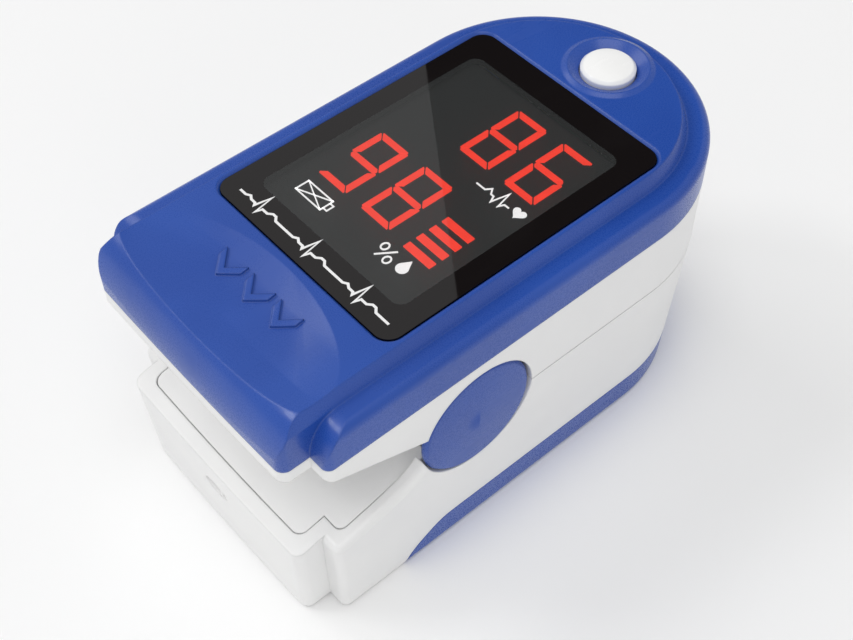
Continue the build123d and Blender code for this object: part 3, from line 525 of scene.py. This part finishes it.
plated = metal("nickel_plate", (0.66, 0.64, 0.60), (0.52, 0.50, 0.47), 0.22, 9.0, (1.0, 1.0, 1.0))
zinc = metal("zinc_screw", (0.60, 0.61, 0.63), (0.42, 0.43, 0.46), 0.3, 11.0, (1.0, 1.0, 0.3))
wire_steel = metal("spring_wire", (0.45, 0.44, 0.43), (0.30, 0.29, 0.28), 0.28, 12.0, (0.3, 1.0, 1.0))
wear(plated, "pivot_pin_left", "pivot_pin_right", "contact_spring_left", "contact_spring_right",
     "contact_bridge")
screws = [n for n in nodes if "screw" in n]
wear(zinc, *screws)
print("screws:", len(screws))

# %% [markdown]
# ## Wound springs
# A torsion spring is one wire: a leg, a few turns close round the pin, and a second leg. A tube along a
# helix with its two legs shows that, which rings side by side don't. The wire's centre line is worked
# out as points and swept into a tube here. The spring twists with the clip; the tube here keeps one shape.


# %% Tube along a path
def tube(points, radius, around=10):
    """A bmesh tube of a radius along points, capped at both ends."""
    made = bmesh.new()
    rings = []
    along = (points[1] - points[0]).normalized()
    side = along.orthogonal().normalized()
    for i, p in enumerate(points):
        nearby = points[min(i + 1, len(points) - 1)] - points[max(i - 1, 0)]
        along = nearby.normalized()
        side = (side - along * side.dot(along)).normalized()
        other = along.cross(side)
        rings.append([made.verts.new(p + (side * math.cos(a) + other * math.sin(a)) * radius)
                      for a in (k * math.tau / around for k in range(around))])
    for first, second in zip(rings, rings[1:]):
        for k in range(around):
            n = (k + 1) % around
            made.faces.new((first[k], first[n], second[n], second[k]))
    made.faces.new(list(reversed(rings[0])))
    made.faces.new(rings[-1])
    bmesh.ops.recalc_face_normals(made, faces=made.faces)
    return made


WIRE_R, TURNS, COIL_STEPS, LEG_STEPS, LEG_SPARE = 0.27, 2.5, 90, 12, 0.2     # radius and spare in mm


def torsion_spring(tag, side):
    """A wound spring that stands for a CAD ring. side is -1 on the left and +1 on the right."""
    node = "torsion_spring_" + tag
    low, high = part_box(node)
    wire = WIRE_R * MM
    coil_r = (high.y - low.y) / 2 - wire
    inner, outer = (low.x + wire, high.x - wire) if side > 0 else (high.x - wire, low.x + wire)
    path = []
    top = Vector((inner, hinge.y + coil_r, high.z - LEG_SPARE * MM))
    path += [top.lerp(Vector((inner, hinge.y + coil_r, hinge.z)), k / LEG_STEPS) for k in range(LEG_STEPS)]
    for k in range(COIL_STEPS + 1):
        a = k / COIL_STEPS * TURNS * math.tau
        path.append(Vector((inner + (outer - inner) * k / COIL_STEPS, hinge.y + coil_r * math.cos(a),
                            hinge.z - coil_r * math.sin(a))))
    end = path[-1]
    drop_z = low.z + LEG_SPARE * MM - hinge.z
    path += [Vector((outer, end.y, hinge.z + drop_z * k / LEG_STEPS)) for k in range(1, LEG_STEPS + 1)]
    spring = finished(node + "_wound", tube(path, wire), None, wire_steel, smooth=True)
    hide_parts(node)
    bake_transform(spring)
    return spring


for tag, side in (("left", -1), ("right", 1)):
    made = torsion_spring(tag, side)
    print(made.name, len(made.data.vertices), "points")

# %% [markdown]
# ## Boards, chips and the ribbon
# Boards are glass-fibre with a green mask over copper traces. The traces are a grid of thin lines
# switched on and off by a coarse cell noise, so they turn corners as routed tracks do. Chips and the
# buzzer are black moulding compound with a matt, slightly gritty skin.

# %% Board and chip finishes
board = Finish("board_green", Roughness=0.35, Coat_Weight=0.4, Coat_Roughness=0.2)
x, y, z = board.place()
cells = board.node("ShaderNodeTexWhiteNoise", {"noise_dimensions": "2D"}, {
    "Vector": board.node("ShaderNodeVectorMath", {"operation": "SNAP"}, {0: board.mm, 1: (2.4, 3.2, 40)})})
track_x = abs((x * (math.tau / 1.2)).wave()).spread(0.12, 0.2, 1, 0)
track_y = abs((y * (math.tau / 1.6)).wave()).spread(0.12, 0.2, 1, 0)
tracks = track_x * (cells > 0.5) + track_y * (cells < 0.5)
weave = board.grain(5.0, 2.0, stretch=(1.0, 1.0, 0.2))
board.put(Base_Color=board.mix(tracks, board.mix(weave, (0.006, 0.085, 0.036), (0.009, 0.11, 0.048)),
                               (0.02, 0.19, 0.085)),
          Roughness=0.3 + 0.1 * weave, Normal=board.bump(tracks + 0.2 * weave, 0.03))
wear(board, "main_board", "sensor_board", "emitter_board")

compound = Finish("black_compound", Roughness=0.55)
compound.place()
grit = compound.grain(12.0, 3.0)
compound.put(Base_Color=compound.mix(grit, (0.010, 0.010, 0.011), (0.022, 0.022, 0.023)),
             Roughness=0.5 + 0.2 * grit, Normal=compound.bump(grit, 0.008))
wear(compound, "controller_chip", "buzzer", "tact_switch", "photodiode")

potting = Finish("chip_potting", IOR=1.45, Roughness=0.15)
x, y, z = potting.place()
die = abs(x).spread(0.25, 0.35, 1, 0)
potting.put(Base_Color=potting.mix(die, (0.72, 0.66, 0.40), (0.85, 0.80, 0.62)),
            Roughness=0.12 + 0.1 * potting.grain(3.0))
wear(potting, "emitter_leds")

lens = Finish("clear_lens", IOR=1.49, Transmission_Weight=0.9)
x, y, z = lens.place()
haze = lens.grain(0.9, 3.0)
lens.put(Base_Color=lens.mix(haze, (0.90, 0.93, 0.93), (0.97, 0.98, 0.98)), Roughness=0.06 + 0.08 * haze)
wear(lens, "sensor_lens", "emitter_lens")
print("board finishes:", [f.material.name for f in (board, compound, potting, lens)])

# %% [markdown]
# ## Small parts on the main board
# A board with nothing on it looks wrong the moment the case opens. Chip capacitors and resistors are
# tiny blocks with metal ends, set in rows between the larger parts.


# %% Chip parts
def chip_part(made, cx, cy, z, length, width, height, turn):
    """A block with its two upper long edges cut off, and two metal ends a touch larger."""
    rot = Matrix.Rotation(turn, 4, "Z")
    for lo, hi, grow, slot_index in ((-0.5, -0.28, 1.0, 1), (-0.28, 0.28, 0.93, 0), (0.28, 0.5, 1.0, 1)):
        corners = []
        for sx in (lo, hi):
            for sy, sz in ((-0.5, 0), (0.5, 0), (0.5, 0.86), (0.42, 1.0), (-0.42, 1.0), (-0.5, 0.86)):
                v = rot @ Vector((sx * length, sy * width * grow, sz * height * grow))
                corners.append(made.verts.new(Vector((cx, cy, z)) + v))
        first, second = corners[:6], corners[6:]
        faces = [made.faces.new(list(reversed(first))), made.faces.new(second)]
        faces += [made.faces.new((first[k], first[(k + 1) % 6], second[(k + 1) % 6], second[k]))
                  for k in range(6)]
        for face in faces:
            face.material_index = slot_index


board_low, board_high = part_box("main_board")
parts_mesh = bmesh.new()
SIDE_ROW_X, SIDE_ROW_START, SIDE_ROW_PITCH = 10.9, -11.0, 3.4
END_ROW_PITCH, PART_SIZE = 2.4, (1.6, 0.8, 0.6)
rows = [(side * SIDE_ROW_X, SIDE_ROW_START + SIDE_ROW_PITCH * k, math.pi / 2)
        for side in (-1, 1) for k in range(7)]
rows += [(-0.8 + END_ROW_PITCH * k, -15.2, 0.0) for k in range(5)]
rows += [(x, 17.0, 0.0) for x in (-6.0, -6.0 + END_ROW_PITCH, 6.0 - END_ROW_PITCH, 6.0)]
for cx, cy, turn in rows:
    chip_part(parts_mesh, cx * MM, cy * MM, board_high.z, *(size * MM for size in PART_SIZE), turn)
bmesh.ops.recalc_face_normals(parts_mesh, faces=parts_mesh.faces)
data = bpy.data.meshes.new("chip_parts")
parts_mesh.to_mesh(data)
parts_mesh.free()
chip_parts = bpy.data.objects.new("chip_parts", data)
bpy.context.scene.collection.objects.link(chip_parts)
ceramic = Finish("tan_ceramic", Roughness=0.5)
ceramic.place()
fleck = ceramic.grain(8.0, 3.0)
ceramic.put(Base_Color=ceramic.mix(fleck, (0.30, 0.19, 0.10), (0.40, 0.27, 0.15)),
            Roughness=0.42 + 0.15 * fleck)
data.materials.append(ceramic.material)
data.materials.append(plated.material)
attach(chip_parts, "upper_half")
print("chip parts:", len(rows))

# %% [markdown]
# ## The ribbon cable
# A thin amber film with copper tracks joins the sensor board to the main board across the hinge. It has
# to bend as the clip opens; here it is a strip of many short quads in one fixed shape.

# %% Ribbon film
amber = Finish("amber_film", Roughness=0.3)
x, y, z = amber.place()
copper = abs((x * (math.tau / 1.3)).wave()).spread(0.45, 0.6)
amber.put(Base_Color=amber.mix(copper, (0.42, 0.17, 0.03), (0.62, 0.33, 0.12)),
          Roughness=0.25 + 0.1 * amber.grain(2.0), Normal=amber.bump(copper, 0.02))
rib_low, rib_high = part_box("ribbon_cable")
thick, turn_r = 0.0001, 0.0016
mid_z, mid_y = rib_low.z + thick, rib_low.y + thick
run = [Vector((0, rib_high.y - k * (rib_high.y - mid_y - turn_r) / 10, mid_z)) for k in range(11)]
for k in range(1, 9):
    a = math.radians(90 * k / 8)
    run.append(Vector((0, mid_y + turn_r - turn_r * math.sin(a), mid_z + turn_r - turn_r * math.cos(a))))
run += [Vector((0, mid_y, mid_z + turn_r + k * (rib_high.z - mid_z - turn_r) / 14)) for k in range(1, 15)]
film_mesh = bmesh.new()
pairs = []
for i, p in enumerate(run):
    along = (run[min(i + 1, len(run) - 1)] - run[max(i - 1, 0)]).normalized()
    normal = Vector((1, 0, 0)).cross(along)
    pairs.append([film_mesh.verts.new(p + Vector((sx * rib_high.x, 0, 0)) + normal * sn * thick)
                  for sx, sn in ((-1, -1), (1, -1), (1, 1), (-1, 1))])
for first, second in zip(pairs, pairs[1:]):
    for k in range(4):
        film_mesh.faces.new((first[k], first[(k + 1) % 4], second[(k + 1) % 4], second[k]))
film_mesh.faces.new(list(reversed(pairs[0])))
film_mesh.faces.new(pairs[-1])
bmesh.ops.recalc_face_normals(film_mesh, faces=film_mesh.faces)
ribbon = finished("ribbon_film", film_mesh, None, amber)
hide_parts("ribbon_cable")
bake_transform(ribbon)
print("ribbon points:", len(run))

# %% [markdown]
# ## The cells
# An AAA cell is a steel can in a printed jacket: a coloured band at the positive end, a dark body, and
# bare metal at both end faces. The jacket is a mask of place along the cell, and it has no words.


# %% Cell jackets
def cell_finish(name, positive_high):
    jacket = Finish(name, Roughness=0.3)
    x, y, z = jacket.place()
    low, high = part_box("cell_left")
    start, end = low.y / MM, high.y / MM
    along = (y - start) / (end - start)
    if not positive_high:
        along = 1 - along
    band = along.spread(0.72, 0.725)
    bare = along.spread(0.965, 0.97) + along.spread(0.008, 0.013, 1, 0)
    line = abs(along - 0.70).spread(0.006, 0.009, 1, 0)
    body = jacket.mix(band, (0.018, 0.020, 0.026), (0.55, 0.32, 0.06))
    body = jacket.mix(line, body, (0.75, 0.75, 0.75))
    scuff = jacket.grain(1.3, 4.0).spread(0.6, 0.8)
    jacket.put(Base_Color=jacket.mix(bare, body, (0.62, 0.62, 0.62)), Metallic=bare,
               Roughness=0.24 + 0.12 * scuff)
    return jacket


wear(cell_finish("cell_jacket_left", True), "cell_left")
wear(cell_finish("cell_jacket_right", False), "cell_right")
print("cells jacketed")

# %% [markdown]
# ## A small studio
# The object stands on a pale floor that runs out of sight, so that nothing competes with it. The floor
# is one large face, a hair under the case so that the two never share a plane.

# %% Floor
floor_finish = Finish("pale_floor", Roughness=0.9)
floor_finish.place()
tone = floor_finish.grain(0.02, 2.0)
floor_finish.put(Base_Color=floor_finish.mix(tone, (0.93, 0.93, 0.93), (0.945, 0.945, 0.945)))
made = bmesh.new()
bmesh.ops.create_grid(made, x_segments=1, y_segments=1, size=3.0)
floor = finished("floor", made, None, floor_finish)
floor.location.z = cad_low.z - 0.00002


# %% [markdown]
# ## Four soft lights and a pale room
# A white room gives most of the light, and four large lamps give it a direction. The one on top models
# the shoulders of the cover. The key from the left brightens the front. The strip makes the highlights
# along the rolled edges. The one on the right keeps that side from going flat. All are larger than the
# object, so every shadow is soft.

# %% Lights
def soft_light(name, spot, aim, size, watts, size_y=None, colour=(1, 1, 1)):
    lamp = bpy.data.lights.new(name, "AREA")
    lamp.shape, lamp.size, lamp.size_y = "RECTANGLE", size, size_y or size
    lamp.energy, lamp.color = watts, colour
    thing = bpy.data.objects.new(name, lamp)
    bpy.context.scene.collection.objects.link(thing)
    thing.visible_camera = False
    thing.location = spot
    thing.rotation_euler = (Vector(aim) - Vector(spot)).to_track_quat("-Z", "Y").to_euler()
    return thing


centre = (cad_low + cad_high) / 2
soft_light("top", (0.25, -0.20, 1.30), centre, 0.90, 5.1)
soft_light("key", (-1.00, -0.25, 0.95), centre, 0.60, 2.6)
soft_light("strip", (-0.46, -0.48, 0.72), centre, 0.22, 1.2)
soft_light("side", (1.20, -0.55, 0.50), centre, 0.60, 1.3)
world = bpy.data.worlds.new("studio")
bpy.context.scene.world = world
world.use_nodes = True
world.node_tree.nodes["Background"].inputs[0].default_value = (1, 1, 1, 1)
world.node_tree.nodes["Background"].inputs[1].default_value = 0.57
bpy.context.scene.view_settings.view_transform = "Standard"

# %% [markdown]
# ## Camera
# The camera stands over the thumb end on the right and looks down. Its axes are worked out from an
# azimuth, an elevation and a small roll, and go into the columns of its matrix.

# %% Camera
AZIMUTH, ELEVATION, ROLL = (math.radians(v) for v in (49.475, 50.771, -0.485))
back = Vector((math.sin(AZIMUTH) * math.cos(ELEVATION), -math.cos(AZIMUTH) * math.cos(ELEVATION),
               math.sin(ELEVATION)))
level = Vector((math.cos(AZIMUTH), math.sin(AZIMUTH), 0))
upward = back.cross(level)
right = level * math.cos(ROLL) + upward * math.sin(ROLL)
upward = -level * math.sin(ROLL) + upward * math.cos(ROLL)
lens_data = bpy.data.cameras.new("view")
lens_data.sensor_width, lens_data.lens = 36.0, 57.83
lens_data.clip_start, lens_data.clip_end = 0.005, 10
camera = bpy.data.objects.new("view", lens_data)
bpy.context.scene.collection.objects.link(camera)
camera.matrix_world = Matrix.Translation(Vector((65.558, -57.827, 117.107)) * MM) @ Matrix(
    (right, upward, back)).transposed().to_4x4()
bpy.context.scene.camera = camera
print("camera at mm", [round(v / MM, 1) for v in camera.location])

# %% [markdown]
# ## The dark flag in the window
# One part of the window mirrors the pale room and the other mirrors a black flag, with a crisp line
# between, which is how a glossy window is usually lit. The line is set on the window, and the flag's
# edge is found from it: a mirrored eye below the window's plane looks through both ends of the line, up
# to the height at which the flag hangs. It also takes the grey veil off the blue on that side.

# %% Hang the flag
middle = (window_low + window_high) / 2
FLAG_HEIGHT, FLAG_WIDTH, FLAG_SPARE = 0.45, 0.26, 0.12          # metres
line_ends = [Vector((window_low.x + 0.7 * MM, middle.y + 8.1 * MM, window_high.z)),
             Vector((window_high.x, middle.y - 8.6 * MM, window_high.z))]
eye = camera.location.copy()
eye.z = 2 * window_high.z - eye.z
edge = [eye + (end - eye) * (FLAG_HEIGHT - eye.z) / (window_high.z - eye.z) for end in line_ends]
edge_run = (edge[1] - edge[0]).normalized()
away_run = Vector((-edge_run.y, edge_run.x, 0)) * FLAG_WIDTH
corners = [edge[0] - edge_run * FLAG_SPARE, edge[1] + edge_run * FLAG_SPARE]
corners += [corners[1] + away_run, corners[0] + away_run]
made = bmesh.new()
made.faces.new([made.verts.new(corner) for corner in corners])
felt = Finish("black_felt", Roughness=1.0, Specular_IOR_Level=0.0)
felt.place()
felt.put(Base_Color=felt.mix(felt.grain(0.3), (0.004, 0.004, 0.004), (0.008, 0.008, 0.008)))
flag = finished("flag", made, None, felt)
flag.visible_camera = False
print("flag edge in mm from", [round(v / MM) for v in edge[0]], "to", [round(v / MM) for v in edge[1]])
